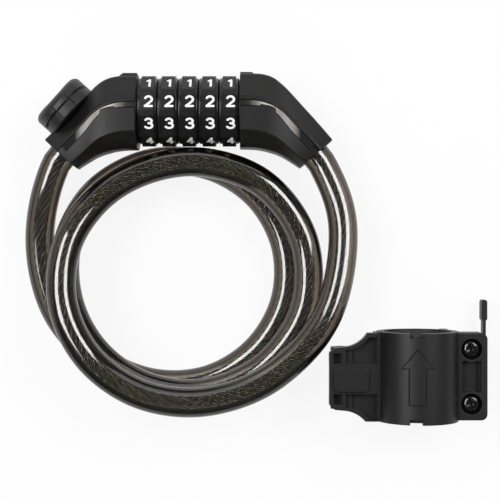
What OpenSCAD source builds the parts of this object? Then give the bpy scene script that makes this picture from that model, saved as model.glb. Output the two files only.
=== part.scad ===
// Combination cable lock: a five-dial lock head with a coiled cable, and the
// separate clamp bracket that carries the lock on a bicycle frame.
// The head lies along X with its face up (+Z). Both pieces stand on z = 0.

/* [Dials] */
// Length of one dial along the head, from dial to dial
dial_pitch = 8.3; // [7.8:0.1:9]
// Side gap between two dials
dial_gap = 0.2; // [0.1:0.05:0.4]
// Diameter of the plain rim at a dial's two sides
dial_rim_d = 26.8; // [25:0.1:27.4]
// Diameter across the corners of the numbered band
dial_band_d = 29.4; // [28.4:0.1:29.6]
// Width of the numbered band
dial_band_w = 5.5; // [4.5:0.1:6.5]
// Width of the bevel between two numbered faces
dial_bevel_w = 2.3; // [1.6:0.1:3]
// Outer diameter of the code ring inside a dial
code_ring_d = 18; // [17:0.1:20]

/* [Lock core] */
// Outer diameter of the slotted tube that the dials turn on
tube_d = 12; // [11.6:0.1:12.6]
// Diameter of the plug's rod
rod_d = 7.6; // [7:0.1:8]
// Height of the plug's teeth above the rod's axis
tooth_top = 7.2; // [6.8:0.1:7.4]
// Thickness of a tooth along the rod
tooth_t = 1.6; // [1.2:0.1:1.9]
// Width of a tooth across the rod
tooth_w = 2.6; // [2.2:0.1:3]
// Diameter of the metal cores inside the housings
core_d = 21.8; // [21:0.1:22.6]
// Length of the metal cores
core_len = 13.5; // [11:0.5:14]
// Running clearance of turning and sliding pieces, on the radius
run_gap = 0.08; // [0.04:0.01:0.1]
// Seat clearance of fixed pieces, on the radius
seat_gap = 0.04; // [0.02:0.01:0.08]

/* [Housings] */
// Thickness of the head from back to face, at the dials
head_t = 31; // [30.4:0.1:33]
// Thickness of a housing at its cable end
arm_end_t = 20; // [18:0.5:22]
// Height of the index tab above the housing's top edge
tab_rise = 0.9; // [0.5:0.1:1.4]
// Length of the index tab along the head
tab_len = 6.4; // [4:0.1:8]
// Depth of the inlay strip's channel
inlay_depth = 1.2; // [0.8:0.1:1.6]
// Diameter of the crimped ferrule at each cable end
ferrule_d = 14; // [13.2:0.1:14.4]
// Length of the ferrule
ferrule_len = 8; // [6.5:0.5:8.5]
// Thickness of the housing's lip outside the ferrule
lip_t = 2; // [1.5:0.1:2.5]

/* [Mounting stud] */
// Diameter of the stud on the left housing
stud_d = 24; // [22:0.5:25]
// Height of the stud above the housing
stud_h = 10.1; // [9.4:0.1:11]
// Thickness of the stud's cap in its middle
stud_cap_t = 4.3; // [3.8:0.1:4.8]
// Fall of the domed cap from its middle to its edge
stud_dome = 2.3; // [1.6:0.1:2.8]
// Diameter of the neck between cap and base
stud_neck_d = 17; // [15:0.5:18]
// Height of the neck, which is the groove that the bracket's lips enter
stud_neck_h = 1.4; // [1:0.1:1.8]

/* [Cable] */
// Outer diameter of the cable's jacket
cable_d = 12; // [11:0.1:12]
// Diameter of the twisted steel core
cable_core_d = 3.8; // [3.4:0.1:5]
// Clearance of the cable in the housing's lip, on the radius
cable_gap = 0.3; // [0.2:0.05:0.4]

/* [Bracket] */
// Diameter of the frame tube that the bracket clamps
frame_tube_d = 25.4; // [24:0.1:26]
// Thickness of the rubber liner
liner_t = 1; // [0.8:0.1:1.2]
// Wall of the clamp ring
clamp_wall = 2.8; // [2:0.1:3]
// Height of the clamp along the frame tube
clamp_h = 36; // [34:0.5:38]
// Height of the clamped tube's axis above the back of the bracket
clamp_z = 24; // [24:0.5:26]
// Gap between the front and rear flanges
flange_gap = 1; // [0.6:0.1:1.4]
// Thickness of each flange
flange_t = 4.5; // [4.2:0.1:6]
// Distance of the clamp screws from the tube's axis
screw_x = 21.2; // [20.9:0.1:21.6]
// Distance between the two clamp screws
screw_spacing = 22; // [20:0.2:23]
// Diameter of the clamp screws' shank
screw_d = 4; // [3.5:0.1:4.4]
// Diameter of the clamp screws' head
screw_head_d = 7.6; // [7:0.1:8]
// Thickness of the rear carrier plate
carrier_t = 8.8; // [8.4:0.2:10]

/* [Hidden] */

$fn = 96;
eps = 0.01;
dial_count = 5;
digits = 10;

// ---- places in the head: the dial stack is centred on the origin of the plan
axis_z = head_t / 2;
stack_half = dial_count * dial_pitch / 2;
housing_gap = 0.2;
face_x = stack_half + housing_gap;
function dial_x(i) = -stack_half + (i - 0.5) * dial_pitch;

// ---- cable exits: mirrored on the two housings
exit_out = 31.1;
exit_x = face_x + exit_out;
exit_y = -18.1;
exit_angle = 38;
exit_dir = [sin(exit_angle), -cos(exit_angle)];

// ---- where the coil and the bracket lie, from the middle of the dial stack
coil_centre = [-5, -67];
bracket_centre = [92.8, -108];

// ---- outer size of the object without its cable, which puts the origin in its middle
latch_x = 30.3;
latch_head_w = 2.4;
stud_out = 27.4;
stud_y = -0.6;
stud_centre = [-face_x - stud_out, stud_y];
stud_angle = 42;
low_x = stud_centre[0] - cos(stud_angle) * (stud_h - stud_dome)
    - sin(stud_angle) * stud_d / 2;
high_x = bracket_centre[0] + latch_x + latch_head_w / 2;
low_y = bracket_centre[1] - clamp_h / 2;
top_edge_y = 15.1;
high_y = top_edge_y + tab_rise;
origin_shift = [-(low_x + high_x) / 2, -(low_y + high_y) / 2, 0];

module place() { translate(origin_shift) children(); }
module on_axis() { translate([0, 0, axis_z]) rotate([0, 90, 0]) children(); }

// A round bar along X on the head's axis
module axis_bar(x0, x1, d) { translate([x0, 0, 0]) on_axis() cylinder(d = d, h = x1 - x0); }

// ---- smooth line through hand-chosen points
function cr(a, b, c, d, t) =
    0.5 * (2 * b + (c - a) * t + (2 * a - 5 * b + 4 * c - d) * t * t
    + (3 * b - a - 3 * c + d) * t * t * t);
function smooth(p, n, before, after) =
    let (e = len(p) - 1, lead = is_undef(before) ? p[0] : before, tail = is_undef(after) ? p[e] : after)
    [
        for (i = [0 : e - 1], k = [0 : n - 1])
            cr(i == 0 ? lead : p[i - 1], p[i], p[i + 1], i == e - 1 ? tail : p[i + 2], k / n),
        p[e]
    ];
function unit(v) = v / norm(v);

// ---- housings: lofted through [outer x, outer y, inner x, inner y, fall], from the
// face beside the dials outwards. The outer edge is the far side of the bend and the
// inner edge the coil's side; fall is the share of the head's fall in thickness.
housing_stops = [
    [0, 15.1, 0, -15.8, 0],
    [5, 15.2, 4.6, -15.9, 0],
    [9.5, 14.9, 8.4, -16.3, 0.02],
    [13.5, 13.6, 11.8, -17.1, 0.07],
    [17, 11.1, 15, -18.1, 0.18],
    [20.2, 8, 17.8, -19.4, 0.33],
    [25.8, 1.6, 20.2, -20.9, 0.55],
    [31.6, -4.9, 22.4, -22.3, 0.76],
    [37.9, -12.1, 24.7, -23.9, 1]
];
function station(p) = [-face_x - p[0], p[1], -face_x - p[2], p[3],
    head_t - p[4] * (head_t - arm_end_t)];
housing_line = smooth([for (p = housing_stops) station(p)], 3);
// One side of a housing's section: [across, up], where -1 is the outer edge,
// 1 the inner edge and up 1 the flat face
side_profile = [
    [-1, 0], [-1, 0.38], [-0.97, 0.46], [-0.9, 0.55], [-0.42, 0.96], [-0.34, 1],
    [0.46, 1], [0.54, 0.97], [0.93, 0.5], [0.98, 0.4], [1, 0.3], [1, 0]
];

// A point of the loft: s is a station, u across, v up, lift a height added to the surface
function loft_point(s, u, v, lift, grow) =
    let (
        mid = [(s[0] + s[2]) / 2, (s[1] + s[3]) / 2],
        half = [(s[2] - s[0]) / 2, (s[3] - s[1]) / 2],
        wide = 1 + grow / norm(half)
    )
    [mid[0] + u * wide * half[0], mid[1] + u * wide * half[1],
        axis_z + v * (s[4] / 2 + grow) + lift];

// A closed solid through equal rings of points, with flat ends
module skin(rings) {
    n = len(rings[0]);
    m = len(rings);
    sides = [
        for (j = [0 : m - 2], i = [0 : n - 1])
            let (a = j * n + i, b = j * n + (i + 1) % n)
            each [[a, b, b + n], [a, b + n, a + n]]
    ];
    ends = [
        [for (i = [n - 1 : -1 : 0]) i],
        [for (i = [0 : n - 1]) (m - 1) * n + i]
    ];
    polyhedron(points = [for (r = rings) each r], faces = concat(sides, ends), convexity = 6);
}

// The half of the housing above (up = 1) or below (up = -1) the parting plane
module housing_half(up, grow = 0) {
    order = up > 0 ? [0 : len(side_profile) - 1] : [len(side_profile) - 1 : -1 : 0];
    skin([for (s = housing_line) [for (i = order)
        loft_point(s, side_profile[i][0], up * side_profile[i][1], 0, grow)]]);
}

// The inlay strip's band across the face, shrunk by gap for the strip itself
inlay_from = -0.24;
inlay_to = -0.04;
module inlay_band(low, high, gap, first, last) {
    skin([for (j = [first : last])
        let (
            s = housing_line[j],
            half = norm([s[2] - s[0], s[3] - s[1]]) / 2,
            a = inlay_from + gap / half,
            b = inlay_to - gap / half
        )
        [loft_point(s, a, 1, low, 0), loft_point(s, a, 1, high, 0),
            loft_point(s, b, 1, high, 0), loft_point(s, b, 1, low, 0)]]);
}

// A bar along the left cable exit, from the end face: minus is inside the housing
module exit_bar(from, to, d) {
    translate([-exit_x, exit_y, axis_z])
        rotate([0, 0, -exit_angle])
            rotate([90, 0, 0])
                translate([0, 0, from])
                    cylinder(d = d, h = to - from);
}

// Anything turned on the stud's axis, from a height above the housing's outer face
module on_stud(height) {
    translate([stud_centre[0], stud_centre[1], axis_z])
        rotate([0, 0, -stud_angle])
            rotate([0, -90, 0])
                translate([0, 0, height]) children();
}
module stud_bar(from, to, d) { on_stud(from) cylinder(d = d, h = to - from); }

foot_d = 7;
foot_flange_d = 10;
foot_deep = 3.4;
foot_flange_t = 1.6;
core_x0 = face_x + 1.5;

// Everything that is hollow in both housings, in the left housing's place
module housing_hollows() {
    axis_bar(-core_x0 - core_len - 0.3, -face_x + eps, core_d + 2 * seat_gap);
    exit_bar(-lip_t - ferrule_len - 0.2, -lip_t, ferrule_d + 2 * seat_gap);
    exit_bar(-lip_t - eps, 3, cable_d + 2 * cable_gap);
    inlay_band(-inlay_depth, 3, 0, 0, len(housing_line) - 2);
}

module stud_pocket() {
    stud_bar(-foot_deep, 4, foot_d + 2 * seat_gap);
    stud_bar(-foot_deep, -foot_deep + foot_flange_t, foot_flange_d + 2 * seat_gap);
}

module index_tab(up) {
    tab_z = 5;
    tab_in = 4;
    z0 = up > 0 ? 0 : -tab_z;
    translate([-face_x - tab_len, top_edge_y - tab_in, axis_z + z0])
        cube([tab_len, tab_in + tab_rise, tab_z]);
}

module housing(up) {
    difference() {
        union() {
            housing_half(up);
            index_tab(up);
        }
        housing_hollows();
    }
}

module left_housing(up) {
    difference() {
        housing(up);
        stud_pocket();
    }
}

module left_housing_front() { color("#26272a") place() left_housing(1); }
module left_housing_back() { color("#26272a") place() left_housing(-1); }
module right_housing_front() { color("#26272a") place() mirror([1, 0, 0]) housing(1); }
module right_housing_back() { color("#26272a") place() mirror([1, 0, 0]) housing(-1); }

inlay_gap = 0.15;
inlay_sunk = 0.25;
module inlay() { inlay_band(-inlay_depth + 0.05, -inlay_sunk, inlay_gap, 0, len(housing_line) - 3); }
module left_inlay() { color("#8d9094") place() inlay(); }
module right_inlay() { color("#8d9094") place() mirror([1, 0, 0]) inlay(); }

module ferrule() {
    difference() {
        exit_bar(-lip_t - ferrule_len, -lip_t, ferrule_d);
        exit_bar(-lip_t - ferrule_len - 1, -lip_t - ferrule_len + 2, cable_core_d);
    }
}
module left_ferrule() { color("#8a8c8f") place() ferrule(); }
module right_ferrule() { color("#8a8c8f") place() mirror([1, 0, 0]) ferrule(); }

// ---- lock core: the slotted tube, its end cap and the sprung detent strip
slot_w = tooth_w + 0.4;
bore_d = rod_d + 2 * run_gap;
tube_in_core = 11;
cap_t = 1.4;
cap_gap = 0.9;
cap_d = core_d - 2 * cap_gap;
tube_x0 = -core_x0 - tube_in_core;
tube_x1 = face_x + cap_t + 0.2;

module lock_core() {
    color("#9a9c9f") place() difference() {
        axis_bar(-core_x0 - core_len, -core_x0, core_d);
        axis_bar(-core_x0 - tube_in_core, -core_x0 + 1, tube_d + 2 * seat_gap);
    }
}

groove_w = 2.4;
groove_deep = 0.8;
leaf_t = 0.4;
module lock_tube() {
    color("#b4b6b8") place() difference() {
        axis_bar(tube_x0 + 0.1, tube_x1, tube_d);
        axis_bar(tube_x0 - 1, tube_x1 + 1, bore_d);
        translate([-face_x - 1, -slot_w / 2, axis_z])
            cube([tube_x1 + face_x + 3, slot_w, tube_d]);
        translate([-stack_half, -groove_w / 2, axis_z - tube_d / 2 - 1])
            cube([2 * stack_half, groove_w, 1 + groove_deep]);
    }
}

module detent_spring() {
    leaf_w = groove_w - 0.3;
    leaf_z = axis_z - tube_d / 2 + groove_deep - leaf_t;
    bump = 1.4;
    color("#c9cbcc") place() union() {
        translate([-stack_half + 0.2, -leaf_w / 2, leaf_z])
            cube([2 * stack_half - 0.4, leaf_w, leaf_t]);
        for (i = [1 : dial_count])
            translate([dial_x(i) - bump / 2, -leaf_w / 2, leaf_z - 0.3])
                cube([bump, leaf_w, 0.3 + eps]);
    }
}

module tube_end_cap() {
    color("#9a9c9f") place() difference() {
        axis_bar(face_x - housing_gap + 0.1, face_x + cap_t, cap_d);
        axis_bar(face_x - 2, face_x + cap_t + 1, tube_d + 2 * seat_gap);
        translate([face_x - 2, -slot_w / 2, axis_z])
            cube([cap_t + 3, slot_w, tooth_top + 0.4]);
    }
}

// ---- dials: a plain rim with a band of ten numbered faces and bevels between them
dial_w = dial_pitch - dial_gap;
band_r = dial_band_d / 2;
bevel_half = asin(dial_bevel_w / dial_band_d);
digit_step = 360 / digits;
digit_turn = 82.8;

module dial(i) {
    face_half = digit_step / 2 - bevel_half;
    difference() {
        union() {
            translate([dial_x(i) - dial_w / 2, 0, 0])
                on_axis() cylinder(d = dial_rim_d, h = dial_w);
            translate([dial_x(i) - dial_band_w / 2, 0, axis_z])
                rotate([-digit_turn, 0, 0])
                    rotate([0, 90, 0])
                        linear_extrude(dial_band_w)
                            polygon([for (k = [0 : digits - 1], side = [-1, 1])
                                let (a = k * digit_step + side * face_half)
                                [-band_r * cos(a), band_r * sin(a)]]);
        }
        axis_bar(dial_x(i) - dial_pitch, dial_x(i) + dial_pitch, code_ring_d + 2 * seat_gap);
    }
}
module dial_1() { color("#101113") place() dial(1); }
module dial_2() { color("#101113") place() dial(2); }
module dial_3() { color("#101113") place() dial(3); }
module dial_4() { color("#101113") place() dial(4); }
module dial_5() { color("#101113") place() dial(5); }

// Code rings: each has one gate that lets the plug's teeth pass
ring_w = dial_pitch - tooth_t - 1;
module code_ring(i) {
    difference() {
        axis_bar(dial_x(i) - ring_w / 2, dial_x(i) + ring_w / 2, code_ring_d);
        axis_bar(dial_x(i) - ring_w, dial_x(i) + ring_w, tube_d + 2 * run_gap);
        translate([dial_x(i) - ring_w, -slot_w / 2, axis_z])
            cube([2 * ring_w, slot_w, tooth_top + 0.4]);
    }
}
module code_ring_1() { color("#b08d4a") place() code_ring(1); }
module code_ring_2() { color("#b08d4a") place() code_ring(2); }
module code_ring_3() { color("#b08d4a") place() code_ring(3); }
module code_ring_4() { color("#b08d4a") place() code_ring(4); }
module code_ring_5() { color("#b08d4a") place() code_ring(5); }

// ---- plug: the toothed rod and the core that carries it in the right housing
rod_tip_x = -stack_half - tooth_t;
plug_core_x0 = face_x + cap_t + 0.8;
plug_core_x1 = core_x0 + core_len;
rod_x1 = plug_core_x1 - 2;

module plug_rod() {
    tip = 1;
    color("#c4c6c8") place() union() {
        translate([rod_tip_x, 0, 0])
            on_axis() cylinder(d1 = rod_d - 2 * tip, d2 = rod_d, h = tip);
        axis_bar(rod_tip_x + tip, rod_x1, rod_d);
        for (i = [1 : dial_count])
            translate([dial_x(i) - dial_pitch / 2 - tooth_t / 2, -tooth_w / 2, axis_z])
                cube([tooth_t, tooth_w, tooth_top]);
    }
}
module plug_core() {
    color("#9a9c9f") place() difference() {
        axis_bar(plug_core_x0, plug_core_x1, core_d);
        axis_bar(plug_core_x0 - 1, rod_x1 + 0.1, rod_d + 2 * seat_gap);
    }
}

// ---- mounting stud on the left housing: a base disc, a neck and a domed cap
stud_base_t = stud_h - stud_cap_t - stud_neck_h;
stud_boss_d = 13;
stud_sink = 3;
stud_fit = 0.06;
stud_bore = 3;
mark_w = 0.35;
mark_deep = 0.5;
mark_gap = 5.7;

// Two fine grooves on each of two opposite sides, along the stud
module stud_marks(from, to) {
    on_stud(from) for (side = [-1, 1], end = [0, 180])
        rotate([0, 0, end])
            translate([stud_d / 2 - mark_deep, side * mark_gap / 2 - mark_w / 2, 0])
                cube([2, mark_w, to - from]);
}

module stud_base() {
    color("#1c1d1f") place() difference() {
        union() {
            difference() {
                union() {
                    stud_bar(0, stud_base_t, stud_d);
                    stud_bar(-stud_sink, 1, stud_boss_d);
                }
                housing_half(1, stud_fit);
                housing_half(-1, stud_fit);
                stud_marks(0.6, stud_base_t + 1);
            }
            stud_bar(-foot_deep + foot_flange_t, stud_h - stud_cap_t, foot_d);
            stud_bar(-foot_deep, -foot_deep + foot_flange_t, foot_flange_d);
            stud_bar(stud_base_t - eps, stud_h - stud_cap_t, stud_neck_d);
        }
        stud_bar(0, stud_h, stud_bore + 2 * seat_gap);
    }
}

stud_head_d = 7;
stud_head_t = 1.8;
stud_head_sunk = 0.2;
cap_chamfer = 0.4;
dome_steps = 8;
dome_power = 2.9;
module stud_cap() {
    r = stud_d / 2;
    color("#1c1d1f") place() difference() {
        on_stud(stud_h - stud_cap_t) rotate_extrude() polygon(concat(
            [[0, 0], [r - cap_chamfer, 0], [r, cap_chamfer]],
            [for (k = [dome_steps : -1 : 0])
                [r * k / dome_steps, stud_cap_t - stud_dome * pow(k / dome_steps, dome_power)]]));
        stud_marks(stud_h - stud_cap_t - 1, stud_h);
        stud_bar(0, stud_h + 1, stud_bore + 2 * seat_gap);
        stud_bar(stud_h - stud_head_t, stud_h + 1, stud_head_d + 2 * run_gap);
    }
}

stud_slot_long = 4;
stud_slot_w = 0.9;
stud_slot_deep = 1;
module stud_screw() {
    top = stud_h - stud_head_sunk;
    color("#a5a7a9") place() difference() {
        union() {
            stud_bar(0.2, stud_h - stud_head_t + eps, stud_bore);
            stud_bar(stud_h - stud_head_t, top, stud_head_d);
        }
        on_stud(top - stud_slot_deep) for (a = [0, 90])
            rotate([0, 0, a])
                translate([-stud_slot_long / 2, -stud_slot_w / 2, 0])
                    cube([stud_slot_long, stud_slot_w, 2 * stud_slot_deep]);
    }
}

// ---- cable: it leaves the right housing, goes round clockwise 2.7 times and
// comes back to the left housing. Each stop is [radius, height] of the cable's
// middle, one every 30 degrees, from the coil's centre.
first_stop = 15;
stop_step = 30;
coil_stops = [
    [70.6, 17.8], [63.6, 24.8], [56.8, 29.4], [52.2, 31.2], [49.6, 31.4], [47.8, 31],
    [46.4, 29.8], [45.2, 26.4], [44.2, 21], [44.4, 18.9], [47.2, 18.9], [51.4, 18],
    [54, 16.4], [54.3, 16], [52.4, 17.3], [50, 18.5], [47.6, 19], [45.9, 18.6],
    [45.7, 17.2], [47, 13.6], [48.2, 8.6], [47.8, 6.4], [47, 6.2], [46.6, 6.2],
    [46.3, 6.2], [46, 6.2], [45.8, 6.2], [46.2, 6.2], [47.1, 6.2], [49.3, 6.2],
    [54, 6.4], [59.6, 9.2]
];
straight_run = 4;

function coil_point(k) =
    let (a = first_stop - k * stop_step)
    [coil_centre[0] + coil_stops[k][0] * cos(a),
        coil_centre[1] + coil_stops[k][0] * sin(a), coil_stops[k][1]];
function exit_point(side, out) =
    [side * (exit_x + out * exit_dir[0]), exit_y + out * exit_dir[1], axis_z];
ring_steps = 2;
steady = 30;
coil_line = smooth(concat(
    [exit_point(1, straight_run)],
    [for (k = [0 : len(coil_stops) - 1]) coil_point(k)],
    [exit_point(-1, straight_run)]),
    ring_steps, exit_point(1, straight_run - steady), exit_point(-1, straight_run - steady));
cable_line = concat([exit_point(1, -lip_t)], coil_line, [exit_point(-1, -lip_t)]);
last = len(cable_line) - 1;
// The coil's loops lie between these two rings, and its free ends outside them
coil_first = 7;
coil_last = last - 5;

// The direction of a line at its point i, with its end directions given
function heading(line, i, first, final) =
    i == 0 ? first :
    i == len(line) - 1 ? final :
    unit(unit(line[i + 1] - line[i]) + unit(line[i] - line[i - 1]));
// The points round a line's point c, square to direction t and level with axis
function ring(c, t, axis, r, sides) =
    let (across = unit(cross(t, axis)), up = cross(across, t))
    [for (k = [0 : sides - 1])
        let (a = 90 + k * 360 / sides)
        c + r * (cos(a) * across + sin(a) * up)];

// One unbroken tube along points with their directions, hollow if r_in is over 0
module tube(line, ways, axis, r_out, r_in, sides) {
    n = sides;
    m = len(line);
    outer = [for (i = [0 : m - 1]) each ring(line[i], ways[i], axis, r_out, n)];
    inner = r_in > 0 ? [for (i = [0 : m - 1]) each ring(line[i], ways[i], axis, r_in, n)] : [];
    o = len(outer);
    outer_faces = [
        for (j = [0 : m - 2], i = [0 : n - 1])
            let (p = j * n + i, q = j * n + (i + 1) % n)
            each [[p, p + n, q + n], [p, q + n, q]]
    ];
    inner_faces = r_in > 0 ? [for (f = outer_faces) [f[2] + o, f[1] + o, f[0] + o]] : [];
    z = (m - 1) * n;
    end_faces = r_in > 0 ? [
        for (i = [0 : n - 1])
            let (q = (i + 1) % n)
            each [[i, q, q + o], [i, q + o, i + o],
                [z + i, z + q + o, z + q], [z + i, z + i + o, z + q + o]]
    ] : [
        [for (i = [0 : n - 1]) i],
        [for (i = [n - 1 : -1 : 0]) z + i]
    ];
    polyhedron(points = concat(outer, inner),
        faces = concat(outer_faces, inner_faces, end_faces), convexity = 12);
}

cable_ways = [for (i = [0 : last]) heading(cable_line, i,
    [exit_dir[0], exit_dir[1], 0], [exit_dir[0], -exit_dir[1], 0])];
module cable_run(a, b, r_out, r_in, sides) {
    tube([for (i = [a : b]) cable_line[i]], [for (i = [a : b]) cable_ways[i]],
        [0, 0, 1], r_out, r_in, sides);
}

coil_sides = 6;
end_sides = 8;
bore_r = cable_core_d / 2 + 0.3;
module cable_jacket_right() { color("#4a4038") place() cable_run(0, coil_first, cable_d / 2, bore_r, end_sides); }
module cable_jacket_coil() { color("#4a4038") place() cable_run(coil_first, coil_last, cable_d / 2, bore_r, coil_sides); }
module cable_jacket_left() { color("#4a4038") place() cable_run(coil_last, last, cable_d / 2, bore_r, end_sides); }
module cable_core_right() { color("#6e6753") place() cable_run(0, coil_first, cable_core_d / 2, 0, end_sides); }
module cable_core_coil() { color("#6e6753") place() cable_run(coil_first, coil_last, cable_core_d / 2, 0, coil_sides); }
module cable_core_left() { color("#6e6753") place() cable_run(coil_last, last, cable_core_d / 2, 0, end_sides); }

// The least gap from the cable to itself, measured on points along its middle
fine_line = smooth(cable_line, 4);
apart = 30;
self_gap = min([for (i = [0 : len(fine_line) - 1], j = [i + apart : len(fine_line) - 1])
    norm(fine_line[i] - fine_line[j])]) - cable_d;
// and from the cable to the dials beside its top turn
dial_reach = min([for (p = fine_line) abs(p[0]) < stack_half
    ? norm([p[1], p[2] - axis_z]) : 1000]) - cable_d / 2 - band_r;
cable_long = [for (i = 0, s = 0; i < last;
    s = s + norm(cable_line[i + 1] - cable_line[i]), i = i + 1) s];
echo(least_gap_to_itself = self_gap, gap_to_dials = dial_reach,
    cable_length = cable_long[len(cable_long) - 1]);

// ---- bracket, drawn about the clamped tube's axis, which runs along Y
clamp_r = frame_tube_d / 2 + liner_t + clamp_wall;
bore_r_clamp = frame_tube_d / 2 + liner_t;
front_z0 = clamp_z + flange_gap / 2;
rear_z1 = clamp_z - flange_gap / 2;
front_z1 = front_z0 + flange_t;
rear_z0 = rear_z1 - flange_t;
flange_x1 = 27.5;
flange_h = clamp_h - 1;
hinge_x = -31;
hinge_r = 4;
hinge_z = clamp_z - 3;
hinge_pin_d = 3;
arm_y = -0.9;
arm_half = 12.4;
knuckle_half = 5.8;

module at_bracket() { place() translate([bracket_centre[0], bracket_centre[1], 0]) children(); }
module y_bar(x, z, y0, y1, d) { translate([x, y1, z]) rotate([90, 0, 0]) cylinder(d = d, h = y1 - y0); }

// A plate with round corners, standing on z0
module round_plate(x0, x1, y0, y1, z0, z1, r) {
    translate([0, 0, z0]) linear_extrude(z1 - z0) union() {
        translate([x0 + r, y0]) square([x1 - x0 - 2 * r, y1 - y0]);
        translate([x0, y0 + r]) square([x1 - x0, y1 - y0 - 2 * r]);
        for (x = [x0 + r, x1 - r], y = [y0 + r, y1 - r]) translate([x, y]) circle(r = r, $fn = 48);
    }
}

module clamp_cutout() { y_bar(0, clamp_z, -clamp_h, clamp_h, 2 * bore_r_clamp); }

// A block longer than any piece of the bracket, for cutting along a level plane
far = 100;
module cut_below(z) { translate([-far / 2, -far / 2, z - far]) cube([far, far, far]); }
module cut_above(z) { translate([-far / 2, -far / 2, z]) cube([far, far, far]); }

notch_x = -2.4;
notch_w = 5;
notch_deep = 2;
module front_notches() {
    for (y = [clamp_h / 2 - notch_deep, -clamp_h / 2 - 1])
        translate([notch_x - notch_w / 2, y, clamp_z])
            cube([notch_w, notch_deep + 1, clamp_r + 2]);
}

// The arrow that shows which way up the bracket goes, cut as a thin line
arrow_line = 0.35;
arrow_deep = 0.35;
arrow_x = -1.9;
arrow_tip_y = 12;
arrow_head_y = 3.9;
arrow_foot_y = -10.5;
arrow_head_w = 12.7;
arrow_shaft_w = 7;
module arrow_outline(inset) {
    head_x = arrow_head_w / 2 - 1.2 * inset;
    shaft_x = arrow_shaft_w / 2 - inset;
    tip = arrow_tip_y - 1.4 * inset;
    head_y = arrow_head_y + inset;
    foot = arrow_foot_y + inset;
    polygon([[0, tip], [head_x, head_y], [shaft_x, head_y], [shaft_x, foot],
        [-shaft_x, foot], [-shaft_x, head_y], [-head_x, head_y]]);
}
module arrow() {
    difference() {
        translate([arrow_x, 0, clamp_z]) linear_extrude(clamp_r + 2) difference() {
            arrow_outline(0);
            arrow_outline(arrow_line);
        }
        y_bar(0, clamp_z, -clamp_h, clamp_h, 2 * (clamp_r - arrow_deep));
    }
}

module screw_holes(z0, z1, d) {
    for (side = [-1, 1])
        translate([screw_x, side * screw_spacing / 2, z0]) cylinder(d = d, h = z1 - z0);
}

// The hinge flange's upper edge, from the saddle out to the hinge. Its curve and the
// hollow inside it are the same below, and lie about the arm's own middle, arm_y. The
// hollow has a shelf at its end by the hinge.
arm_edge = [
    [-13, flange_h / 2 - arm_y], [-20.6, flange_h / 2 - arm_y], [-21.6, 17], [-22.3, 16.2],
    [-23, 15.6], [-24, 14.8], [-25, 14.2], [-26.2, 13.6], [-27.6, 13.1], [-29.2, 12.8],
    [-33.7, arm_half], [-35.9, 10.4]
];
arm_hollow = [
    [-16.3, 6.2], [-16.3, 16.6], [-19.9, 16.6], [-20.9, 15.4], [-22.4, 13.9], [-24.4, 12.6],
    [-26.8, 11.8], [-29.3, 11.5], [-29.3, 6.2]
];
end_hollow = [[-34.2, 6.2], [-34.2, 10.2], [-30.7, 10.2], [-30.7, 6.2]];
hollow_floor = front_z0 + 1.2;
shelf_x = -26.6;
shelf_floor = front_z0 + 2.6;
function flipped(points) = [for (i = [len(points) - 1 : -1 : 0]) [points[i][0], -points[i][1]]];
module hinge_flange() {
    edge = [for (p = arm_edge) [p[0], min(p[1] + arm_y, flange_h / 2)]];
    lower = [for (p = flipped(arm_edge)) [p[0], max(p[1] + arm_y, -clamp_h / 2)]];
    translate([0, 0, front_z0]) linear_extrude(flange_t) polygon(concat(edge, lower));
}
module arm_hollows() {
    for (side = [0, 1]) translate([0, arm_y, 0]) mirror([0, side, 0]) {
        translate([0, 0, shelf_floor]) linear_extrude(2 * flange_t) polygon(arm_hollow);
        translate([0, 0, hollow_floor]) linear_extrude(2 * flange_t) union() {
            polygon(end_hollow);
            intersection() {
                polygon(arm_hollow);
                translate([shelf_x, 0]) square(clamp_h);
            }
        }
    }
}

// Raised pad on the hinge flange
pad_x = [-33.8, -20.2];
pad_half = 4.85;
pad_low = 0.3;
pad_rise = 1.2;
pad_round = 1.8;
// Recess between the two screw heads
recess_w = 7.6;
recess_h = 12.6;
recess_wall = 1.4;
knuckle_gap = 0.3;
knuckle_room = 6;
flange_round = 2.5;
flange_root = clamp_r - 3.5;
screw_seat_z = front_z1 - 2.9;
screw_hole_gap = 0.3;
head_hole_gap = 0.4;

module screw_flange(z0, z1) {
    round_plate(flange_root, flange_x1, -flange_h / 2, flange_h / 2, z0, z1, flange_round);
}

// One of the two outer knuckles of the clamp's hinge, with its web up to the flange
module front_knuckle(y0, y1) {
    y_bar(hinge_x, hinge_z, y0, y1, 2 * hinge_r);
    translate([hinge_x - hinge_r, y0, hinge_z])
        cube([2 * hinge_r, y1 - y0, front_z0 - hinge_z + 1]);
}

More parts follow.
